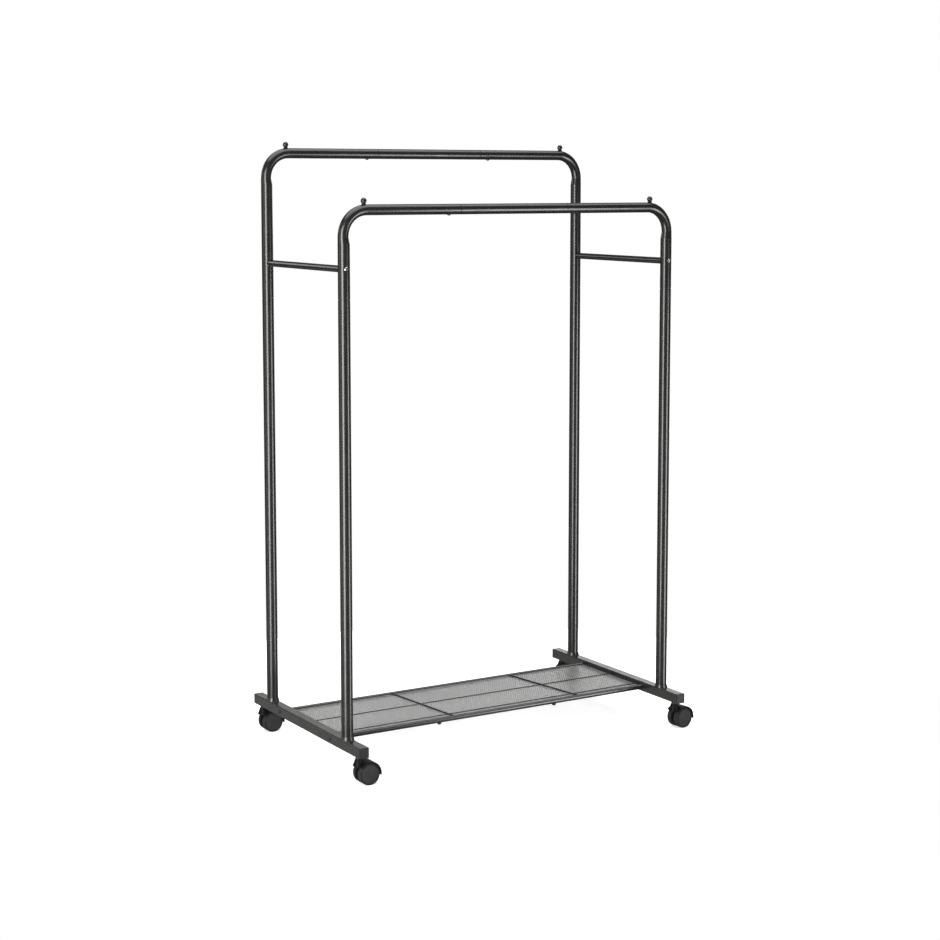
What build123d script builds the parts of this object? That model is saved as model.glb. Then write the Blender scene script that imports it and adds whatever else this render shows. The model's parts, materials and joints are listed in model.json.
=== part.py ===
"""Double-rail rolling clothes rack: two tube hoops on two base bars, a mesh shelf and four casters.

Sizes are in millimetres. +X runs along the rails, +Y from the low front hoop to the tall rear
hoop, and +Z is up. Z = 0 is the floor. Everything is drawn about the middle of the base and
moved at the end, so that the origin is the middle of the whole object's footprint.
"""
from build123d import *
from math import cos, radians, sin, sqrt
import os

# Layout of the base and the hoops
upright_spacing_x = 912.0
upright_spacing_y = 402.0
base_top_z = 94.0
front_rail_z = 1324.5
rear_rail_z = 1457.5
brace_z = 1190.5

# Tubes
upright_diameter = 28.0
rail_diameter = 25.0
tube_wall = 1.2
bend_radius = 60.0
neck_taper_length = 16.0
neck_lead = 1.0
spigot_length = 30.0
spigot_clearance = 0.15
spigot_root_length = 4.0
open_seam = 1.2
tight_seam = 0.2

# Heights of the seams in each leg, from the foot up to the corner tube
leg_seams = {
    "left_front": (175.5, 502.5, 758.5, 1120.5),
    "left_rear": (174.5, 489.5, 742.5, 1104.5),
    "right_rear": (174.5, 448.5, 742.5, 1104.5),
    "right_front": (175.5, 502.5, 758.5, 1120.5),
}
# Seams that are closed up so far that they hardly show
closed_seams = {
    "left_front": (0, 1, 2),
    "left_rear": (2,),
    "right_rear": (),
    "right_front": (),
}

# Middle piece of each rail, and the screw that locks each end of it
middle_rail_length = 300.0
rail_screw_x = 178.0
rail_screw_head_radius = 4.5
rail_screw_head_height = 2.6
rail_screw_radius = 2.0
rail_screw_reach = 5.4

# Hanger stops on the shoulders of the hoops
stop_x = 404.0
stop_ball_radius = 7.0
stop_ball_height = 8.2
stop_neck_radius = 4.8
stop_weld_radius = 6.4
stop_weld_height = 2.5
stop_root = 3.0

# Base bars
base_bar_size = 25.0
base_bar_wall = 1.5
base_bar_corner = 2.0
base_bar_length = 564.0
cap_thickness = 3.0
cap_plug_length = 14.0
cap_plug_clearance = 0.2
cap_edge_radius = 1.2
weld_radius = 17.0
weld_height = 8.0
weld_half_width = 13.8

# Side braces between the front and the rear hoop
brace_diameter = 16.0
brace_fit = 0.02
insert_length = 20.0
insert_clearance = 0.1
insert_setback = 4.0

# Bolts of the braces and of the shelf
head_rim_share = 0.35
head_root = 1.0
shank_root = 0.5
bolt_radius = 3.0
bolt_hole_radius = 3.3
bolt_head_radius = 5.2
bolt_head_height = 3.2
bolt_socket_radius = 2.3
bolt_socket_depth = 2.0
bolt_thread_clearance = 0.05
brace_bolt_reach = 42.0
shelf_bolt_reach = 42.0

# Shelf
shelf_tube_diameter = 12.7
shelf_tube_wall = 1.0
shelf_tube_y = 135.0
shelf_tube_end_gap = 0.2
shelf_insert_setback = 1.0
mesh_rise = 0.5
mesh_thickness = 1.0
mesh_end_gap = 1.5
mesh_edge_gap = 0.3
cross_wire_diameter = 4.0
long_wire_diameter = 2.0
long_wires_y = (10.0, -107.0)
wire_gap = 0.05
cross_wire_x = ((-153.0, -125.0), (204.0, 244.0))
shelf_screw_x = 168.0
shelf_screw_head_radius = 5.5
shelf_screw_head_height = 5.0
shelf_screw_radius = 2.0

# Casters
stem_y = 257.0
caster_trail = 20.0
caster_turn = {"left_front": 0.0, "left_rear": 0.0, "right_rear": 6.0, "right_front": 6.0}
wheel_radius = 26.0
wheel_width = 16.5
wheel_edge_radius = 2.4
wheel_inner_edge_radius = 1.2
wheel_rim_thickness = 4.0
wheel_groove_radii = (21.4, 22.6)
wheel_groove_depth = 1.2
wheel_pocket_depth = 12.0
hub_radius = 7.0
wheel_web_gap = 1.0
axle_radius = 3.0
axle_fit = 0.02
running_clearance = 0.05
axle_end_cover = 3.0
hood_web_width = 5.0
hood_inner_radius = 27.6
hood_thickness = 2.4
hood_start_deg = -6.0
hood_end_deg = 138.0
hood_fan_steps = 6
hood_lip_radius = 2.0
hood_web_floor = 17.0
boss_radius = 8.0
boss_base_radius = 14.0
boss_base_z = 46.0
boss_root_z = 42.0
boss_top_z = 62.7
stem_pin_radius = 3.5
stem_pin_bottom_z = 51.5
stem_bore_bottom_z = 50.5
collar_radius = 7.0
collar_gap = 0.3
stem_thread_radius = 4.0
stem_thread_length = 17.0
socket_radius = 6.0
socket_flange_radius = 8.5
socket_flange_thickness = 2.0
socket_length = 18.0
socket_clearance = 0.05
socket_hole_clearance = 0.3

# How far cutting tools run past what they cut
overshoot = 1.0

# Worked out from the sizes above
upright_radius = upright_diameter / 2
rail_radius = rail_diameter / 2
upright_x = upright_spacing_x / 2
upright_y = upright_spacing_y / 2
base_bottom_z = base_top_z - base_bar_size
base_centre_z = base_top_z - base_bar_size / 2
bar_inner_x = upright_x - base_bar_size / 2
bar_outer_x = upright_x + base_bar_size / 2
shelf_radius = shelf_tube_diameter / 2
mesh_bottom_z = base_centre_z + mesh_rise
neck_shift = upright_radius - rail_radius
axle_z = wheel_radius
caster_width = hood_web_width + 2 * (wheel_web_gap + wheel_width)
rail_height = {"front": front_rail_z, "rear": rear_rail_z}
corners = {
    "left_front": (-1, -1),
    "left_rear": (-1, 1),
    "right_rear": (1, 1),
    "right_front": (1, -1),
}


# Basic shapes

def rod(radius, start, end):
    """A solid cylinder from one point to another."""
    axis = Vector(*end) - Vector(*start)
    return Solid.make_cylinder(radius, axis.length, Plane(origin=start, z_dir=axis))


def cone(radius_start, radius_end, start, end):
    """A solid cone frustum from one point to another."""
    axis = Vector(*end) - Vector(*start)
    return Solid.make_cone(radius_start, radius_end, axis.length, Plane(origin=start, z_dir=axis))


def tube(radius, wall, start, end):
    """A hollow tube from one point to another."""
    return rod(radius, start, end) - rod(radius - wall, start, end)


def block(low, high):
    """A box between two opposite corners."""
    size = [b - a for a, b in zip(low, high)]
    middle = [(a + b) / 2 for a, b in zip(low, high)]
    return Pos(*middle) * Box(*size)


def leg_xy(corner):
    """Centre of the upright at this corner."""
    side_x, side_y = corners[corner]
    return side_x * upright_x, side_y * upright_y


def hoop_of(corner):
    """Whether this corner is on the front or the rear hoop."""
    return "front" if corners[corner][1] < 0 else "rear"


def seam_width(corner, index):
    """Open gap of a leg's seam."""
    return tight_seam if index in closed_seams[corner] else open_seam


# Legs

def leg_tube(corner, bottom_z, top_z):
    """A straight leg tube with a reduced spigot at its top for the tube above."""
    x, y = leg_xy(corner)
    inner = upright_radius - tube_wall
    spigot = inner - spigot_clearance
    root_z = top_z - spigot_root_length
    body = tube(upright_radius, tube_wall, (x, y, bottom_z), (x, y, top_z))
    root = tube(inner, inner - spigot + tube_wall, (x, y, root_z), (x, y, top_z))
    plug = tube(spigot, tube_wall, (x, y, root_z), (x, y, top_z + spigot_length))
    return body + root + plug


def foot_tube(corner):
    """The welded stub on the base bar, with its weld bead."""
    x, y = leg_xy(corner)
    top_z = leg_seams[corner][0]
    bead = cone(weld_radius, upright_radius, (x, y, base_top_z), (x, y, base_top_z + weld_height))
    bead -= rod(upright_radius - tube_wall, (x, y, base_top_z), (x, y, base_top_z + weld_height))
    reach = weld_radius + overshoot
    bead &= block((x - weld_half_width, y - reach, base_top_z),
                  (x + weld_half_width, y + reach, base_top_z + weld_height))
    return leg_tube(corner, base_top_z, top_z) + bead


def leg_section(corner, index):
    """The tube between two neighbouring seams of a leg."""
    seams = leg_seams[corner]
    return leg_tube(corner, seams[index] + seam_width(corner, index), seams[index + 1])


def corner_outline(corner, radius):
    """The round bar that fills a corner tube of this radius, above its neck."""
    side_x = corners[corner][0]
    x, y = leg_xy(corner)
    x += side_x * neck_shift
    rail_z = rail_height[hoop_of(corner)]
    tangent_z = rail_z - bend_radius
    tangent_x = x - side_x * bend_radius
    end_x = side_x * (middle_rail_length / 2 + open_seam)
    turn = bend_radius * (1 - sqrt(0.5))
    start_z = tangent_z - neck_lead
    path = Line((x, y, start_z), (x, y, tangent_z))
    path += ThreePointArc((x, y, tangent_z), (x - side_x * turn, y, rail_z - turn),
                          (tangent_x, y, rail_z))
    path += Line((tangent_x, y, rail_z), (end_x, y, rail_z))
    profile = Plane(origin=(x, y, start_z), z_dir=(0, 0, 1)) * Circle(radius)
    return sweep(profile, path=path)


def neck_outline(corner, cut):
    """The round bar below the bend, with a neck to rail size that keeps its outer side straight."""
    side_x = corners[corner][0]
    x, y = leg_xy(corner)
    bottom_z = leg_seams[corner][3] + seam_width(corner, 3)
    neck_z = rail_height[hoop_of(corner)] - bend_radius - neck_lead
    taper_z = neck_z - neck_taper_length
    wide = Plane(origin=(x, y, taper_z)) * Circle(upright_radius - cut)
    narrow = Plane(origin=(x + side_x * neck_shift, y, neck_z)) * Circle(rail_radius - cut)
    return rod(upright_radius - cut, (x, y, bottom_z), (x, y, taper_z)) + loft([wide, narrow])


def corner_tube(corner):
    """Top of a leg: necked down to rail size, bent over and run inward to the rail's seam."""
    side_x = corners[corner][0]
    x, y = leg_xy(corner)
    rail_z = rail_height[hoop_of(corner)]
    shell = neck_outline(corner, 0) + corner_outline(corner, rail_radius)
    hollow = neck_outline(corner, tube_wall) + corner_outline(corner, rail_radius - tube_wall)
    reach = upright_radius + overshoot
    bolt_way = rod(bolt_hole_radius, (x, y - reach, brace_z), (x, y + reach, brace_z))
    screw_x = side_x * rail_screw_x
    screw_way = rod(rail_screw_radius + spigot_clearance,
                    (screw_x, y, rail_z - rail_radius - overshoot), (screw_x, y, rail_z))
    return shell - hollow - bolt_way - screw_way


# Rails

def middle_rail(hoop):
    """Straight middle of a rail, with a spigot into each corner tube."""
    y = upright_y if hoop == "rear" else -upright_y
    z = rail_height[hoop]
    half = middle_rail_length / 2
    spigot = rail_radius - tube_wall - spigot_clearance
    rail = tube(rail_radius, tube_wall, (-half, y, z), (half, y, z))
    for side in (-1, 1):
        end = side * half
        root = side * (half - spigot_root_length)
        tip = side * (rail_screw_x + spigot_length / 2)
        rail += tube(rail_radius - tube_wall, tube_wall + spigot_clearance,
                     (root, y, z), (end, y, z))
        rail += tube(spigot, tube_wall, (root, y, z), (tip, y, z))
        screw_x = side * rail_screw_x
        rail -= rod(rail_screw_radius + spigot_clearance,
                    (screw_x, y, z - rail_radius), (screw_x, y, z))
    return rail


def round_head(radius, height, start, direction):
    """A low domed screw head that stands on a point and faces a direction."""
    seat = Plane(origin=start, z_dir=direction)
    rim = height * head_rim_share
    dome_radius = (radius ** 2 + (height - rim) ** 2) / (2 * (height - rim))
    head = Cylinder(radius, height, align=(Align.CENTER, Align.CENTER, Align.MIN))
    head &= Pos(0, 0, height - dome_radius) * Sphere(dome_radius)
    return seat * head


def socket_head(start, direction):
    """A domed bolt head with a hexagonal drive socket."""
    seat = Plane(origin=start, z_dir=direction)
    head = round_head(bolt_head_radius, bolt_head_height, start, direction)
    hexagon = extrude(RegularPolygon(bolt_socket_radius, 6), bolt_socket_depth + overshoot)
    return head - seat * Pos(0, 0, bolt_head_height - bolt_socket_depth) * hexagon


def under_screw(x, y, tube_z, tube_radius, head_radius, head_height, shank_radius, shank_top_z):
    """A domed screw up into a tube along X, with its head saddled on the tube's underside."""
    seat_z = tube_z - tube_radius
    head = round_head(head_radius, head_height + head_root, (x, y, seat_z + head_root), (0, 0, -1))
    head -= rod(tube_radius, (x - 2 * head_radius, y, tube_z), (x + 2 * head_radius, y, tube_z))
    return head + rod(shank_radius, (x, y, seat_z - shank_root), (x, y, shank_top_z))


def rail_screws():
    """The locking screw under each end of both middle rails."""
    screws = []
    for corner, (side_x, side_y) in corners.items():
        z = rail_height[hoop_of(corner)]
        screws.append(under_screw(side_x * rail_screw_x, side_y * upright_y, z, rail_radius,
                                  rail_screw_head_radius, rail_screw_head_height,
                                  rail_screw_radius, z - rail_radius + rail_screw_reach))
    return Compound(children=screws)


def hanger_stops():
    """A ball on a short neck, welded on top of each shoulder."""
    stops = []
    for corner, (side_x, side_y) in corners.items():
        x = side_x * stop_x
        y = side_y * upright_y
        rail_z = rail_height[hoop_of(corner)]
        top_z = rail_z + rail_radius
        ball_z = top_z + stop_ball_height
        stop = Pos(x, y, ball_z) * Sphere(stop_ball_radius)
        root_z = top_z - stop_root
        stop += rod(stop_neck_radius, (x, y, root_z), (x, y, ball_z))
        stop += cone(stop_weld_radius, stop_neck_radius,
                     (x, y, root_z), (x, y, top_z + stop_weld_height))
        stops.append(stop - corner_outline(corner, rail_radius))
    return Compound(children=stops)


# Base

def square_tube(x):
    """A square base tube along Y with rounded long edges."""
    outer = RectangleRounded(base_bar_size, base_bar_size, base_bar_corner)
    inner_size = base_bar_size - 2 * base_bar_wall
    profile = outer - RectangleRounded(inner_size, inner_size, base_bar_corner / 2)
    plane = Plane(origin=(x, -base_bar_length / 2, base_centre_z), z_dir=(0, 1, 0))
    return extrude(plane * profile, base_bar_length)


def base_bar(side):
    """A base bar with its caster holes underneath and its shelf bolt holes."""
    x = side * upright_x
    bar = square_tube(x)
    for end in (-1, 1):
        y = end * stem_y
        bar -= rod(stem_thread_radius + socket_hole_clearance,
                   (x, y, base_bottom_z - overshoot), (x, y, base_centre_z))
        y = end * shelf_tube_y
        bar -= rod(bolt_hole_radius, (x - base_bar_size, y, base_centre_z),
                   (x + base_bar_size, y, base_centre_z))
    return bar


def end_caps():
    """Plastic caps with a plug, in the ends of both base bars."""
    plug = base_bar_size - 2 * base_bar_wall - 2 * cap_plug_clearance
    caps = []
    for side_x, side_y in corners.values():
        x = side_x * upright_x
        y = side_y * base_bar_length / 2
        plane = Plane(origin=(x, y, base_centre_z), z_dir=(0, side_y, 0))
        face = plane * RectangleRounded(base_bar_size, base_bar_size, base_bar_corner)
        plate = extrude(face, cap_thickness)
        outer_face = plate.faces().sort_by(Axis.Y)[-1 if side_y > 0 else 0]
        plate = fillet(outer_face.edges(), cap_edge_radius)
        tongue = plane * RectangleRounded(plug, plug, base_bar_corner / 2)
        tongue = extrude(tongue, -cap_plug_length)
        caps.append(plate + tongue)
    return Compound(children=caps)


def caster_sockets():
    """Flanged threaded sockets inside the base bars, one over each caster."""
    sockets = []
    low_z = base_bottom_z + base_bar_wall
    for side_x, side_y in corners.values():
        x = side_x * upright_x
        y = side_y * stem_y
        socket = rod(socket_radius, (x, y, low_z), (x, y, low_z + socket_length))
        socket += rod(socket_flange_radius, (x, y, low_z), (x, y, low_z + socket_flange_thickness))
        bore = rod(stem_thread_radius + socket_clearance,
                   (x, y, low_z - overshoot), (x, y, low_z + socket_length + overshoot))
        sockets.append(socket - bore)
    return Compound(children=sockets)


# Side braces

def side_brace(side):
    """A round tube along Y, coped to sit against the front and the rear upright."""
    x = side * upright_x
    brace = tube(brace_diameter / 2, tube_wall, (x, -upright_y, brace_z), (x, upright_y, brace_z))
    for y in (-upright_y, upright_y):
        brace -= rod(upright_radius + brace_fit,
                     (x, y, brace_z - brace_diameter), (x, y, brace_z + brace_diameter))
    return brace


def threaded_plug(radius, start, end):
    """A round insert with a bolt bore through it."""
    return rod(radius, start, end) - rod(bolt_radius + bolt_thread_clearance, start, end)


def brace_inserts():
    """Threaded inserts in both ends of both braces."""
    radius = brace_diameter / 2 - tube_wall - insert_clearance
    inserts = []
    for side_x, side_y in corners.values():
        x = side_x * upright_x
        near = side_y * (upright_y - upright_radius - insert_setback)
        far = side_y * (upright_y - upright_radius - insert_setback - insert_length)
        inserts.append(threaded_plug(radius, (x, near, brace_z), (x, far, brace_z)))
    return Compound(children=inserts)


def brace_bolts(side_y):
    """The bolts through the uprights of one hoop into the braces."""
    bolts = []
    for side_x in (-1, 1):
        x = side_x * upright_x
        y = side_y * upright_y
        face_y = y + side_y * upright_radius
        seat_y = face_y - side_y * head_root
        head = socket_head((x, seat_y, brace_z), (0, side_y, 0))
        head -= rod(upright_radius, (x, y, brace_z - 2 * bolt_head_radius),
                    (x, y, brace_z + 2 * bolt_head_radius))
        start = (x, face_y + side_y * shank_root, brace_z)
        end = (x, face_y - side_y * brace_bolt_reach, brace_z)
        bolts.append(head + rod(bolt_radius, start, end))
    return Compound(children=bolts)


# Shelf

def shelf_tube(side_y):
    """A round tube between the base bars, along the shelf's front or rear edge."""
    y = side_y * shelf_tube_y
    half = bar_inner_x - shelf_tube_end_gap
    rail = tube(shelf_radius, shelf_tube_wall, (-half, y, base_centre_z), (half, y, base_centre_z))
    if side_y < 0:
        for x in (-shelf_screw_x, shelf_screw_x):
            rail -= rod(shelf_screw_radius + spigot_clearance,
                        (x, y, base_centre_z - shelf_radius - overshoot), (x, y, base_centre_z))
    return rail


def shelf_inserts():
    """Threaded inserts in the ends of both shelf tubes."""
    radius = shelf_radius - shelf_tube_wall - insert_clearance
    inserts = []
    for side_x, side_y in corners.values():
        y = side_y * shelf_tube_y
        near = side_x * (bar_inner_x - shelf_insert_setback)
        far = side_x * (bar_inner_x - shelf_insert_setback - insert_length)
        inserts.append(threaded_plug(radius, (near, y, base_centre_z), (far, y, base_centre_z)))
    return Compound(children=inserts)


def shelf_bolts():
    """The bolts through the base bars into the shelf tubes."""
    bolts = []
    for side_x, side_y in corners.values():
        y = side_y * shelf_tube_y
        face_x = side_x * bar_outer_x
        head = socket_head((face_x, y, base_centre_z), (side_x, 0, 0))
        start = (face_x + side_x * shank_root, y, base_centre_z)
        end = (face_x - side_x * shelf_bolt_reach, y, base_centre_z)
        bolts.append(head + rod(bolt_radius, start, end))
    return Compound(children=bolts)


def shelf_screws():
    """Domed screws under the front shelf tube."""
    screws = [under_screw(x, -shelf_tube_y, base_centre_z, shelf_radius, shelf_screw_head_radius,
                          shelf_screw_head_height, shelf_screw_radius, base_centre_z)
              for x in (-shelf_screw_x, shelf_screw_x)]
    return Compound(children=screws)


def shelf_mesh():
    """The mesh panel, as the thin sheet that its strands fill."""
    half_x = bar_inner_x - mesh_end_gap
    half_y = shelf_tube_y - shelf_radius - mesh_edge_gap
    return block((-half_x, -half_y, mesh_bottom_z), (half_x, half_y, mesh_bottom_z + mesh_thickness))


def shelf_wires():
    """Wires on top of the mesh: thick ones from tube to tube, and thin ones that they divide."""
    half_x = bar_inner_x - mesh_end_gap
    reach = shelf_tube_y - shelf_radius - mesh_edge_gap
    mesh_top_z = mesh_bottom_z + mesh_thickness
    long_z = mesh_top_z + wire_gap + long_wire_diameter / 2
    cross_z = mesh_top_z + wire_gap + cross_wire_diameter / 2
    ends = [((rear_x, reach, cross_z), (front_x, -reach, cross_z)) for rear_x, front_x in cross_wire_x]
    wires = [rod(cross_wire_diameter / 2, rear, front) for rear, front in ends]
    for y in long_wires_y:
        wire = rod(long_wire_diameter / 2, (-half_x, y, long_z), (half_x, y, long_z))
        for rear, front in ends:
            wire -= rod(cross_wire_diameter / 2 + wire_gap, rear, front)
        wires += wire.solids()
    return Compound(children=wires)


# Casters, drawn about the stem at X = 0, Y = 0, with the axle trailing on the +X side

def arc_plate(inner, outer, start_deg, end_deg, width):
    """A curved plate about the axle, between two radii and two angles."""
    reach = 2 * outer
    fan = [(0, 0)]
    for i in range(hood_fan_steps + 1):
        angle = radians(start_deg + (end_deg - start_deg) * i / hood_fan_steps)
        fan.append((reach * cos(angle), reach * sin(angle)))
    ring = Circle(outer) - Circle(inner)
    plane = Plane(origin=(caster_trail, 0, axle_z), x_dir=(1, 0, 0), z_dir=(0, -1, 0))
    return extrude(plane * (ring & Polygon(*fan, align=None)), width / 2, both=True)


def caster_hood():
    """The swivelling hood: a mudguard over both wheels, a web between them and a boss."""
    half = caster_width / 2
    web_half = hood_web_width / 2
    outer = hood_inner_radius + hood_thickness
    lip = outer - hood_lip_radius / 2
    hood = arc_plate(hood_inner_radius, outer, hood_start_deg, hood_end_deg, caster_width)
    for angle in (hood_start_deg, hood_end_deg):
        x = caster_trail + lip * cos(radians(angle))
        z = axle_z + lip * sin(radians(angle))
        hood += rod(hood_lip_radius, (x, -half, z), (x, half, z))
    boss = cone(boss_base_radius, boss_radius, (0, 0, boss_base_z), (0, 0, boss_top_z))
    boss += rod(boss_radius, (0, 0, boss_root_z), (0, 0, boss_top_z))
    for side in (-1, 1):
        boss -= rod(hood_inner_radius, (caster_trail, side * web_half, axle_z),
                    (caster_trail, side * (half + overshoot), axle_z))
    web = rod(hood_inner_radius + overshoot,
              (caster_trail, -web_half, axle_z), (caster_trail, web_half, axle_z))
    web &= block((caster_trail - outer, -half, hood_web_floor),
                 (caster_trail + outer, half, axle_z + outer))
    hood = hood + boss + web
    hood -= rod(stem_pin_radius + running_clearance,
                (0, 0, stem_bore_bottom_z), (0, 0, boss_top_z + overshoot))
    hood -= rod(axle_radius + axle_fit, (caster_trail, -half, axle_z), (caster_trail, half, axle_z))
    return hood


def caster_stem():
    """The steel stem: thread for the base bar, round collar, and the pin that the hood turns on."""
    stem = rod(stem_thread_radius, (0, 0, base_bottom_z), (0, 0, base_bottom_z + stem_thread_length))
    stem += rod(collar_radius, (0, 0, boss_top_z + collar_gap), (0, 0, base_bottom_z))
    stem += rod(stem_pin_radius, (0, 0, stem_pin_bottom_z), (0, 0, base_bottom_z))
    return stem


def caster_axle():
    """The steel axle through the hood's web and into both wheels."""
    half = caster_width / 2 - axle_end_cover - running_clearance
    return rod(axle_radius, (caster_trail, -half, axle_z), (caster_trail, half, axle_z))


def caster_wheel(side):
    """One wheel: a cup with a rounded tread, a grooved outer face and a hub bored for the axle."""
    face = wheel_width
    bore = axle_radius + running_clearance
    rim = wheel_radius - wheel_rim_thickness
    groove_inner, groove_outer = wheel_groove_radii
    outline = [
        (0, face - axle_end_cover), (bore, face - axle_end_cover), (bore, 0),
        (hub_radius, 0), (hub_radius, wheel_pocket_depth), (rim, wheel_pocket_depth), (rim, 0),
        (wheel_radius, 0), (wheel_radius, face), (groove_outer, face),
        (groove_outer, face - wheel_groove_depth), (groove_inner, face - wheel_groove_depth),
        (groove_inner, face), (0, face),
    ]
    profile = Polygon(*outline, align=None)
    inner_edge = profile.vertices().sort_by_distance((wheel_radius, 0, 0))[0]
    profile = fillet(inner_edge, wheel_inner_edge_radius)
    outer_edge = profile.vertices().sort_by_distance((wheel_radius, face, 0))[0]
    profile = fillet(outer_edge, wheel_edge_radius)
    wheel = revolve(profile, Axis.Y)
    inner_y = hood_web_width / 2 + wheel_web_gap
    if side < 0:
        wheel = mirror(wheel, Plane.XZ)
    return Pos(caster_trail, side * inner_y, axle_z) * wheel


def caster_parts(corner):
    """All pieces of the caster at one corner, turned to its heading and set under its bar."""
    side_x, side_y = corners[corner]
    place = Pos(side_x * upright_x, side_y * stem_y, 0) * Rot(0, 0, caster_turn[corner])
    pieces = {
        "stem": caster_stem(),
        "hood": caster_hood(),
        "axle": caster_axle(),
        "front_wheel": caster_wheel(-1),
        "rear_wheel": caster_wheel(1),
    }
    return {f"{corner}_caster_{name}": place * piece for name, piece in pieces.items()}


# Assembly

def leg_parts(corner):
    """All tubes of one leg."""
    return {
        f"{corner}_foot": foot_tube(corner),
        f"{corner}_lower_tube": leg_section(corner, 0),
        f"{corner}_middle_tube": leg_section(corner, 1),
        f"{corner}_upper_tube": leg_section(corner, 2),
        f"{corner}_corner_tube": corner_tube(corner),
    }


def rack_parts():
    """Every sub-part by its node name, about the middle of the base."""
    parts = {
        "left_base_bar": base_bar(-1),
        "right_base_bar": base_bar(1),
        "base_end_caps": end_caps(),
        "caster_sockets": caster_sockets(),
        "front_middle_rail": middle_rail("front"),
        "rear_middle_rail": middle_rail("rear"),
        "rail_screws": rail_screws(),
        "hanger_stops": hanger_stops(),
        "left_side_brace": side_brace(-1),
        "right_side_brace": side_brace(1),
        "brace_inserts": brace_inserts(),
        "front_brace_bolts": brace_bolts(-1),
        "rear_brace_bolts": brace_bolts(1),
        "front_shelf_tube": shelf_tube(-1),
        "rear_shelf_tube": shelf_tube(1),
        "shelf_inserts": shelf_inserts(),
        "shelf_bolts": shelf_bolts(),
        "shelf_screws": shelf_screws(),
        "shelf_mesh": shelf_mesh(),
        "shelf_wires": shelf_wires(),
    }
    for corner in corners:
        parts.update(leg_parts(corner))
        parts.update(caster_parts(corner))
    return parts


def footprint_shift(parts):
    """The move that puts the middle of the whole object's footprint at the origin."""
    boxes = [shape.bounding_box() for shape in parts.values()]
    middle_x = (min(box.min.X for box in boxes) + max(box.max.X for box in boxes)) / 2
    middle_y = (min(box.min.Y for box in boxes) + max(box.max.Y for box in boxes)) / 2
    return Pos(-middle_x, -middle_y, 0)


def main():
    os.makedirs("parts", exist_ok=True)
    parts = rack_parts()
    shift = footprint_shift(parts)
    for name, shape in parts.items():
        export_step(shift * shape, f"parts/{name}.step")
    print(len(parts), "nodes, moved by", tuple(shift.position))


main()
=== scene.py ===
"""Looks of the double-rail rolling clothes rack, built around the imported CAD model.

Metres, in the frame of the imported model: +X along the rails, +Y from the low to the tall hoop,
+Z up, and the floor at Z = 0.
"""

import json
import math

import bpy
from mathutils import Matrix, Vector


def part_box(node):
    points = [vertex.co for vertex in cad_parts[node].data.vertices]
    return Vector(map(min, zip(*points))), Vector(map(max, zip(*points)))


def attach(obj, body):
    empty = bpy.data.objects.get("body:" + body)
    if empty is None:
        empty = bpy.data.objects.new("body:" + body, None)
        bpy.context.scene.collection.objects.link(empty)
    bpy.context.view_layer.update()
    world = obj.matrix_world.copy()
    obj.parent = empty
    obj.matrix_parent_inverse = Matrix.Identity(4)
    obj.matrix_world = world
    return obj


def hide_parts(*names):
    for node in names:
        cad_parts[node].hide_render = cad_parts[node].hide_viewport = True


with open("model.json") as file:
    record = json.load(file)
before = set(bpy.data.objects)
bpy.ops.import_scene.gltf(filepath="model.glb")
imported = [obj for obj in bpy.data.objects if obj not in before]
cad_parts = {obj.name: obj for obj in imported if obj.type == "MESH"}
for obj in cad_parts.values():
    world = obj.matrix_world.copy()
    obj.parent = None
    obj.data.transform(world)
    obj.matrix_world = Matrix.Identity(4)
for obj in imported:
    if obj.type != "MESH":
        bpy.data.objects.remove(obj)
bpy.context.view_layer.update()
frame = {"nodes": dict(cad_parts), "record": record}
nodes = frame["nodes"]
slot_of = {row["node"]: row["material_slot"] for row in frame["record"]["subparts"]}
joints = {joint["name"]: joint for joint in frame["record"]["behaviour"]["joints"]}

MM = 0.001


# Node materials

SAME_WAY = 0.995
EDGE_AWAY = 0.90
WEAR_SPECKLE = 320.0
COLOUR_DETAIL = 5.0
NOISE_ROUGHNESS = 0.6


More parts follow.
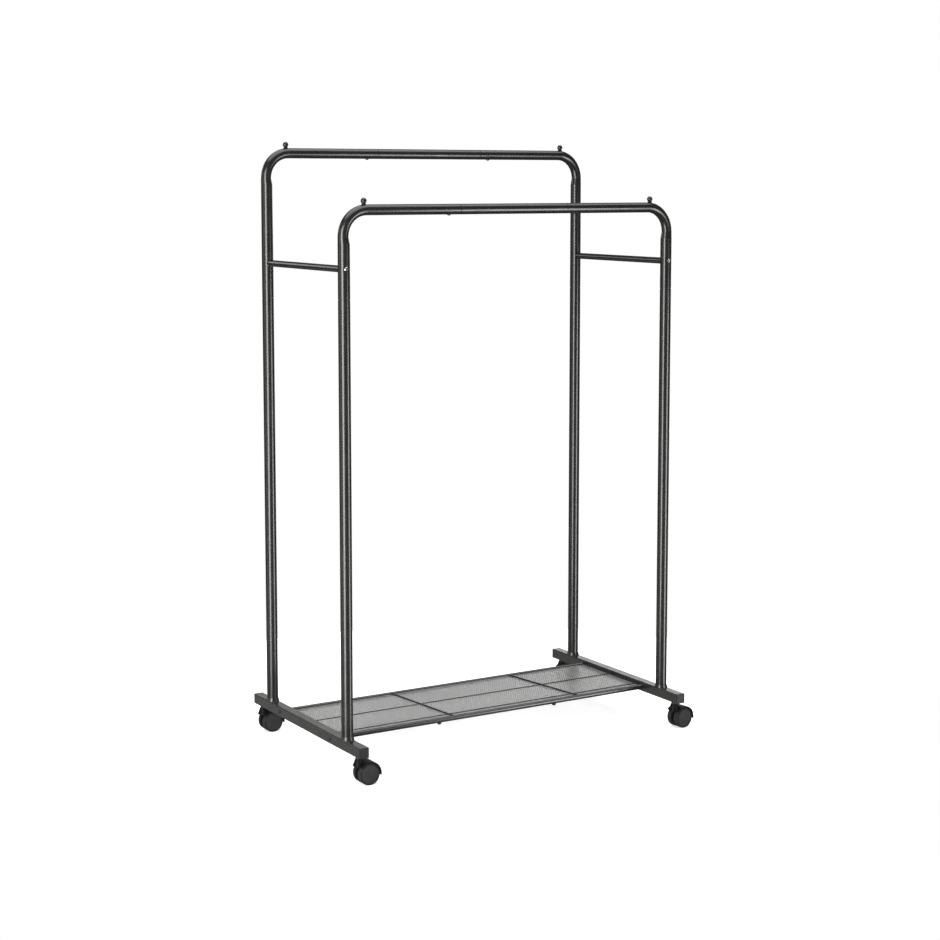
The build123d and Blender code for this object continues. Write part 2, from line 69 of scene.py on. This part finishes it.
class Finish:
    """A Principled material whose colour, roughness and bump come from nodes."""

    def __init__(self, name, roughness, metallic=0.0, specular=0.5, coat=0.0, coat_roughness=0.1):
        self.material = bpy.data.materials.new(name)
        self.material.use_nodes = True
        self.tree = self.material.node_tree
        self.shader = self.tree.nodes["Principled BSDF"]
        self.shader.inputs["Metallic"].default_value = metallic
        self.shader.inputs["Specular IOR Level"].default_value = specular
        self.shader.inputs["Coat Weight"].default_value = coat
        self.shader.inputs["Coat Roughness"].default_value = coat_roughness
        self.place = self.node("ShaderNodeTexCoord").outputs["Object"]
        self.set_roughness(roughness)
        self.normal = None

    def node(self, kind, **inputs):
        made = self.tree.nodes.new(kind)
        for key, value in inputs.items():
            self.feed(made.inputs[key.replace("_", " ")], value)
        return made

    def feed(self, socket, value):
        """Links an output to a socket, or sets the socket to a plain value."""
        if isinstance(value, bpy.types.NodeSocket):
            self.tree.links.new(value, socket)
        else:
            socket.default_value = value

    def noise(self, scale, detail=3.0, stretch=(1, 1, 1)):
        """Noise in the object's own metres, finer along an axis with a larger stretch."""
        mapped = self.node("ShaderNodeMapping", Vector=self.place, Scale=stretch)
        return self.node("ShaderNodeTexNoise", Vector=mapped.outputs["Vector"],
                         Scale=scale, Detail=detail, Roughness=NOISE_ROUGHNESS).outputs["Fac"]

    def ramp(self, factor, low, high, low_value=0.0, high_value=1.0):
        """A factor between low and high, turned into a value between two others."""
        return self.node("ShaderNodeMapRange", Value=factor, From_Min=low, From_Max=high,
                         To_Min=low_value, To_Max=high_value).outputs["Result"]

    def mix(self, factor, first, second):
        made = self.tree.nodes.new("ShaderNodeMix")
        made.data_type = "RGBA"
        self.feed(made.inputs["Factor"], factor)
        for socket, value in zip((made.inputs[6], made.inputs[7]), (first, second)):
            self.feed(socket, value)
        return made.outputs[2]

    def product(self, first, second):
        made = self.tree.nodes.new("ShaderNodeMath")
        made.operation = "MULTIPLY"
        self.feed(made.inputs[0], first)
        self.feed(made.inputs[1], second)
        return made.outputs[0]

    def edges(self, radius):
        """Factor that is 1 on edges within this radius, broken up by noise as wear is."""
        rounded = self.node("ShaderNodeBevel", Radius=radius).outputs["Normal"]
        true = self.node("ShaderNodeNewGeometry").outputs["Normal"]
        agreement = self.tree.nodes.new("ShaderNodeVectorMath")
        agreement.operation = "DOT_PRODUCT"
        self.feed(agreement.inputs[0], rounded)
        self.feed(agreement.inputs[1], true)
        worn = self.ramp(agreement.outputs["Value"], SAME_WAY, EDGE_AWAY)
        return self.product(worn, self.ramp(self.noise(WEAR_SPECKLE), low=0.40, high=0.62))

    def set_roughness(self, value, spread=0.03, scale=30.0):
        """Roughness about a value, varied by soft marks of handling."""
        marks = self.noise(scale, detail=1.0)
        self.feed(self.shader.inputs["Roughness"],
                  self.ramp(marks, low=0.3, high=0.7,
                            low_value=value - spread, high_value=value + spread))

    def set_colour(self, base, variation, worn=None, wear=0.5 * MM, scale=35.0):
        """Base colour, mixed towards a variation by noise and towards bare edges by wear."""
        blotches = self.ramp(self.noise(scale, COLOUR_DETAIL), low=0.35, high=0.65)
        colour = self.mix(blotches, base, variation)
        if worn:
            colour = self.mix(self.edges(wear), colour, worn)
        self.feed(self.shader.inputs["Base Color"], colour)

    def bump(self, height, strength, distance):
        """Adds a bump on top of those before it."""
        made = self.node("ShaderNodeBump", Height=height, Strength=strength, Distance=distance)
        if self.normal:
            self.feed(made.inputs["Normal"], self.normal)
        self.normal = made.outputs["Normal"]
        self.feed(self.shader.inputs["Normal"], self.normal)


def grey(value, tint=(1.0, 1.0, 1.0)):
    """A grey, or nearly one, as a shader colour."""
    return tuple(value * t for t in tint) + (1.0,)


def frame_finish():
    """Semi-gloss powder coat: faint orange peel, edges rubbed a little lighter."""
    warm = (1.0, 1.0, 0.96)
    f = Finish("frame_powder_coat", roughness=0.24, specular=0.62)
    f.set_colour(base=grey(0.010, warm), variation=grey(0.015, warm), worn=grey(0.08))
    f.bump(f.noise(420.0, 2.0), strength=0.03, distance=0.3 * MM)
    return f.material


def enamel_finish():
    """Glossier enamel of the hanger stops."""
    f = Finish("stop_enamel", roughness=0.14, specular=0.6)
    f.set_colour(base=grey(0.008), variation=grey(0.013), worn=grey(0.1))
    f.bump(f.noise(700.0, 2.0), strength=0.05, distance=0.3 * MM)
    return f.material


def mesh_finish():
    """Satin coated mesh strands, thicker and thinner in coating."""
    f = Finish("mesh_coating", roughness=0.42, specular=1.0, coat=1.0, coat_roughness=0.35)
    f.set_colour(base=grey(0.10), variation=grey(0.14), worn=grey(0.3), wear=0.2 * MM, scale=90.0)
    f.bump(f.noise(1500.0, 2.0), strength=0.1, distance=0.2 * MM)
    return f.material


def wire_finish():
    """Dark satin coating of the shelf's wires."""
    f = Finish("wire_coating", roughness=0.4, specular=0.3)
    f.set_colour(base=grey(0.012), variation=grey(0.020), worn=grey(0.1))
    f.bump(f.noise(900.0, 2.0), strength=0.15, distance=0.2 * MM)
    return f.material


def bright_bolt_finish():
    """Zinc plating: a little blotchy, brighter on rubbed edges."""
    cool = (1.0, 1.0, 0.98)
    f = Finish("bolt_zinc", roughness=0.24, metallic=1.0)
    f.set_colour(base=grey(0.62, cool), variation=grey(0.45), worn=grey(0.85), scale=240.0)
    f.bump(f.noise(900.0), strength=0.1, distance=0.2 * MM)
    return f.material


def black_bolt_finish():
    """Black oxide, thin enough for the steel to show where it is rubbed."""
    f = Finish("bolt_black_oxide", roughness=0.34, metallic=0.6)
    f.set_colour(base=grey(0.035), variation=grey(0.060), worn=grey(0.28), scale=200.0)
    f.bump(f.noise(1300.0), strength=0.1, distance=0.2 * MM)
    return f.material


def stem_finish():
    """Black zinc of the caster stems and axles, streaked round their length."""
    f = Finish("stem_black_zinc", roughness=0.38, metallic=0.4)
    f.set_colour(base=grey(0.022), variation=grey(0.035), worn=grey(0.25), scale=220.0)
    f.bump(f.noise(500.0, stretch=(1, 1, 6)), strength=0.1, distance=0.2 * MM)
    return f.material


def plastic_finish(name, shade, specular, roughness, grain):
    """Moulded plastic with a fine grain."""
    f = Finish(name, roughness=roughness, specular=specular)
    f.set_colour(base=grey(shade), variation=grey(shade * 1.35), worn=grey(shade * 2.2))
    f.bump(f.noise(grain, 2.0), strength=0.2, distance=0.2 * MM)
    return f.material


finishes = {
    "frame_steel": frame_finish(),
    "stop_steel": enamel_finish(),
    "mesh_steel": mesh_finish(),
    "wire_steel": wire_finish(),
    "bright_bolt": bright_bolt_finish(),
    "black_bolt": black_bolt_finish(),
    "stem_steel": stem_finish(),
    "cap_plastic": plastic_finish("cap_plastic_grain", shade=0.012, specular=0.22,
                                  roughness=0.42, grain=1400.0),
    "caster_hood": plastic_finish("hood_plastic", shade=0.004, specular=0.08,
                                  roughness=0.42, grain=1100.0),
    "caster_wheel": plastic_finish("wheel_nylon", shade=0.017, specular=0.12,
                                   roughness=0.50, grain=1600.0),
}


def dress(piece, slot):
    """Gives a piece the finish of a material slot."""
    piece.data.materials.clear()
    piece.data.materials.append(finishes[slot])


for name, piece in nodes.items():
    dress(piece, slot_of[name])


# Pieces built in mesh code

SHARP_EDGE = math.radians(35)


def add_piece(name, points, faces, slot, body, stands_for, smooth=False):
    """A new mesh piece that rides on a body and stands for a CAD node."""
    data = bpy.data.meshes.new(name)
    data.from_pydata(points, [], faces)
    data.update()
    if smooth:
        data.shade_smooth()
        data.set_sharp_from_angle(angle=SHARP_EDGE)
    piece = bpy.data.objects.new(name, data)
    bpy.context.scene.collection.objects.link(piece)
    dress(piece, slot)
    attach(piece, body)
    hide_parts(stands_for)


# Shelf mesh: flattened expanded steel, diamonds that are long along Y, inside a flat border

MESH_SHORT_WAY = 6.35 * MM
MESH_LONG_WAY = 10.9 * MM
BOND_HALF_X = 1.1 * MM
BOND_HALF_Y = 1.9 * MM
STRAND_THICKNESS = 0.96 * MM
BORDER_WIDTH = 3.0 * MM
FRONT_BORDER_WIDTH = 10.0 * MM


def mesh_box():
    """The border's outer corners, and the heights of its underside and top."""
    low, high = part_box("shelf_mesh")
    return low.x, low.y, high.x, high.y, low.z, high.z


def expanded_mesh():
    """One closed net: a lozenge at every bond, and a strand from each to its four neighbours."""
    x0, y0, x1, y1, z0, z1 = mesh_box()
    x0, x1 = x0 + BOND_HALF_X, x1 - BOND_HALF_X
    y0, y1 = y0 + BOND_HALF_Y, y1 - BOND_HALF_Y
    columns = 2 * round((x1 - x0) / MESH_SHORT_WAY)
    rows = 2 * round((y1 - y0) / MESH_LONG_WAY)
    top = (z0 + z1 + STRAND_THICKNESS) / 2
    bottom = top - STRAND_THICKNESS
    corners = ((BOND_HALF_X, 0.0), (0.0, BOND_HALF_Y), (-BOND_HALF_X, 0.0), (0.0, -BOND_HALF_Y))
    points, faces, bonds = [], [], {}
    for column in range(columns + 1):
        for row in range(column % 2, rows + 1, 2):
            x = x0 + (x1 - x0) * column / columns
            y = y0 + (y1 - y0) * row / rows
            bonds[column, row] = len(points)
            points += [(x + dx, y + dy, z) for z in (bottom, top) for dx, dy in corners]
    for (column, row), a in bonds.items():
        faces.append((a + 3, a + 2, a + 1, a))
        faces.append((a + 4, a + 5, a + 6, a + 7))
        for side, (across, along) in enumerate(((1, 1), (-1, 1), (-1, -1), (1, -1))):
            near, far = a + side, a + (side + 1) % 4
            b = bonds.get((column + across, row + along))
            if b is None:
                faces.append((near, far, far + 4, near + 4))
            elif along > 0:
                joined_far, joined_near = b + (side + 2) % 4, b + (side + 3) % 4
                faces.append((near, joined_near, joined_near + 4, near + 4))
                faces.append((joined_far, far, far + 4, joined_far + 4))
                faces.append((near + 4, joined_near + 4, joined_far + 4, far + 4))
                faces.append((near, far, joined_far, joined_near))
    add_piece("shelf_expanded_mesh", points, faces, "mesh_steel", "frame", "shelf_mesh")


def mesh_border():
    """The flat steel border round the net."""
    x0, y0, x1, y1, z0, z1 = mesh_box()
    points, faces = [], []
    for inset, front_inset in ((0.0, 0.0), (BORDER_WIDTH, FRONT_BORDER_WIDTH)):
        for z in (z0, z1):
            points += [(x0 + inset, y0 + front_inset, z), (x1 - inset, y0 + front_inset, z),
                       (x1 - inset, y1 - inset, z), (x0 + inset, y1 - inset, z)]
    for side in range(4):
        low, high, inner_low, inner_high = (ring * 4 + side for ring in range(4))
        step = (side + 1) % 4 - side
        faces.append((low, low + step, high + step, high))
        faces.append((high, high + step, inner_high + step, inner_high))
        faces.append((inner_high, inner_high + step, inner_low + step, inner_low))
        faces.append((inner_low, inner_low + step, low + step, low))
    add_piece("shelf_mesh_border", points, faces, "mesh_steel", "frame", "shelf_mesh")


expanded_mesh()
mesh_border()


# Caster wheels: a ribbed tread, a rounded lip and a grooved disc, turned about the axle

WHEEL_STEPS = 96
WHEEL_WIDTH = 16.5
TREAD_RADIUS = 26.0
TREAD_INNER_EDGE = 1.3
TREAD_OUTER_EDGE = 13.9
RIB_DEPTH = 0.35
RIBS = 8
RIB_BEVEL = 0.15
RIB_SHARE = 0.6

# Radius and distance from the wheel's inner side, in mm
DISC = [(0.0, 16.1), (9.0, 16.15), (9.3, 16.4), (17.5, 16.3), (21.4, 16.1), (21.9, 15.7)]
DISC_GROOVE = [(22.2, 13.4), (23.9, 13.4)]
LIP = [(24.2, 15.3), (24.8, 15.7), (25.5, 15.3), (25.85, 14.6)]
POCKET = [(25.2, 0.35), (24.4, 0.0), (22.0, 0.0), (22.0, 12.0), (7.0, 12.0), (7.0, 0.0)]
AXLE_BORE = [(3.05, 0.0), (3.05, 13.5), (0.0, 13.5)]


def wheel_profile():
    """The wheel's outline, from the disc's middle round the tread to the end of the bore."""
    profile = DISC + DISC_GROOVE + LIP
    pitch = (TREAD_OUTER_EDGE - TREAD_INNER_EDGE) / RIBS
    for rib in range(RIBS):
        outer = TREAD_OUTER_EDGE - rib * pitch
        inner = outer - RIB_SHARE * pitch
        profile += [(TREAD_RADIUS, outer), (TREAD_RADIUS, inner),
                    (TREAD_RADIUS - RIB_DEPTH, inner - RIB_BEVEL)]
        if rib < RIBS - 1:
            profile.append((TREAD_RADIUS - RIB_DEPTH, outer - pitch + RIB_BEVEL))
    return profile + POCKET + AXLE_BORE


def wheel(corner, place):
    """The wheel on one side of a caster's web."""
    name = f"{corner}_{place}_wheel"
    node = f"{corner}_caster_{place}_wheel"
    low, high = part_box(node)
    centre = (low + high) / 2
    axis = Vector(joints[f"{name}_spin"]["axis"]).normalized()
    outward = axis if place == "rear" else -axis
    up = Vector((0, 0, 1))
    side = outward.cross(up)
    profile = wheel_profile()
    points = []
    for radius, along in profile:
        middle = centre + outward * ((along - WHEEL_WIDTH / 2) * MM)
        if radius == 0:
            points.append(middle)
            continue
        for step in range(WHEEL_STEPS):
            angle = 2 * math.pi * step / WHEEL_STEPS
            points.append(middle + (side * math.cos(angle) + up * math.sin(angle)) * (radius * MM))
    faces = []
    last = len(points) - 1
    for step in range(WHEEL_STEPS):
        after = (step + 1) % WHEEL_STEPS
        faces.append((0, 1 + step, 1 + after))
        for ring in range(len(profile) - 3):
            a = 1 + ring * WHEEL_STEPS
            b = a + WHEEL_STEPS
            faces.append((a + step, b + step, b + after, a + after))
        faces.append((last, last - WHEEL_STEPS + after, last - WHEEL_STEPS + step))
    add_piece(f"{name}_ribbed", points, faces, "caster_wheel", name, node, smooth=True)


for corner in ("left_front", "left_rear", "right_rear", "right_front"):
    for place in ("front", "rear"):
        wheel(corner, place)


# Floor, light and camera

FLOOR_RADIUS = 1.15
FLOOR_SIDES = 96
FLOOR_GLOW = 0.45


def floor():
    """A pale round floor."""
    angles = [2 * math.pi * i / FLOOR_SIDES for i in range(FLOOR_SIDES)]
    ring = [(FLOOR_RADIUS * math.cos(a), FLOOR_RADIUS * math.sin(a), 0.0) for a in angles]
    data = bpy.data.meshes.new("floor")
    data.from_pydata(ring, [], [tuple(range(FLOOR_SIDES))])
    piece = bpy.data.objects.new("floor", data)
    bpy.context.scene.collection.objects.link(piece)
    f = Finish("floor_pale", roughness=0.9, specular=0.1)
    f.set_colour(base=grey(0.87), variation=grey(0.89), scale=0.5)
    f.shader.inputs["Emission Color"].default_value = grey(1.0)
    f.shader.inputs["Emission Strength"].default_value = FLOOR_GLOW
    data.materials.append(f.material)
    piece.visible_glossy = False
    piece.visible_shadow = False


CAMERA_AZIMUTH = -31.32
CAMERA_ELEVATION = 6.44
CAMERA_DISTANCE = 4.854
CAMERA_AIM = (-0.0126, 0.0068, 0.8445)
CAMERA_LENS = 74.16
CAMERA_SENSOR = 36.0
CAMERA_SHIFT = -0.0745


def link_lamp(name, data, place, away):
    """Puts a lamp at a place, facing against a direction, and hides it from the camera."""
    lamp = bpy.data.objects.new(name, data)
    bpy.context.scene.collection.objects.link(lamp)
    lamp.location = place
    lamp.rotation_mode = "QUATERNION"
    lamp.rotation_quaternion = away.to_track_quat("Z", "Y")
    lamp.visible_camera = False


WARM_WHITE = (1.0, 0.995, 0.98)
CEILING_HEIGHT = 4.0


def softbox(name, turn, distance, low, high, width, radiance):
    """An upright area light that faces the rack, turned this far round it from the camera."""
    a = math.radians(CAMERA_AZIMUTH + turn)
    away = Vector((math.sin(a), -math.cos(a), 0.0))
    data = bpy.data.lights.new(name, "AREA")
    data.shape = "RECTANGLE"
    data.size = width
    data.size_y = high - low
    data.energy = radiance * math.pi * width * (high - low)
    data.color = WARM_WHITE
    link_lamp(name, data, away * distance + Vector((0, 0, (low + high) / 2)), away)


def ceiling(strength, spread):
    """Even light from above, from a disc of the sky this many degrees across."""
    data = bpy.data.lights.new("ceiling", "SUN")
    data.energy = strength
    data.angle = math.radians(spread)
    link_lamp("ceiling", data, Vector((0, 0, CEILING_HEIGHT)), Vector((0, 0, 1)))


def studio():
    """White to the camera and dim to everything else, with strip lights, weak fills and a glow."""
    world = bpy.data.worlds.new("studio")
    world.use_nodes = True
    tree = world.node_tree
    dim = tree.nodes["Background"]
    dim.inputs["Color"].default_value = grey(0.07)
    white = tree.nodes.new("ShaderNodeBackground")
    white.inputs["Color"].default_value = grey(1.0)
    ray = tree.nodes.new("ShaderNodeLightPath")
    mix = tree.nodes.new("ShaderNodeMixShader")
    tree.links.new(ray.outputs["Is Camera Ray"], mix.inputs["Fac"])
    tree.links.new(dim.outputs["Background"], mix.inputs[1])
    tree.links.new(white.outputs["Background"], mix.inputs[2])
    tree.links.new(mix.outputs["Shader"], tree.nodes["World Output"].inputs["Surface"])
    bpy.context.scene.world = world
    softbox("strip_left", turn=-28, distance=2.5, low=-0.4, high=2.2, width=1.0, radiance=10.5)
    softbox("strip_right", turn=66, distance=2.5, low=-0.6, high=0.95, width=0.75, radiance=9.5)
    softbox("fill_left", turn=-72, distance=3.0, low=-0.4, high=2.2, width=1.5, radiance=0.7)
    softbox("low_left", turn=-122, distance=3.2, low=-1.3, high=-0.3, width=1.8, radiance=0.4)
    softbox("kicker_left", turn=-118, distance=3.0, low=1.5, high=2.4, width=1.2, radiance=2.2)
    softbox("glow_right", turn=159, distance=6.0, low=1.2, high=2.8, width=5.0, radiance=1.7)
    softbox("glow_left", turn=199, distance=6.0, low=1.2, high=2.8, width=3.3, radiance=0.8)
    ceiling(strength=3.6, spread=80.0)


def camera():
    """The camera, at rail height and well round to the left of the front."""
    a, e = math.radians(CAMERA_AZIMUTH), math.radians(CAMERA_ELEVATION)
    back = Vector((math.sin(a) * math.cos(e), -math.cos(a) * math.cos(e), math.sin(e)))
    data = bpy.data.cameras.new("camera")
    data.lens = CAMERA_LENS
    data.sensor_width = CAMERA_SENSOR
    data.shift_y = CAMERA_SHIFT
    eye = bpy.data.objects.new("camera", data)
    bpy.context.scene.collection.objects.link(eye)
    eye.location = Vector(CAMERA_AIM) + back * CAMERA_DISTANCE
    eye.rotation_mode = "QUATERNION"
    eye.rotation_quaternion = back.to_track_quat("Z", "Y")
    bpy.context.scene.camera = eye


floor()
studio()
camera()
bpy.context.scene.view_settings.view_transform = "Standard"
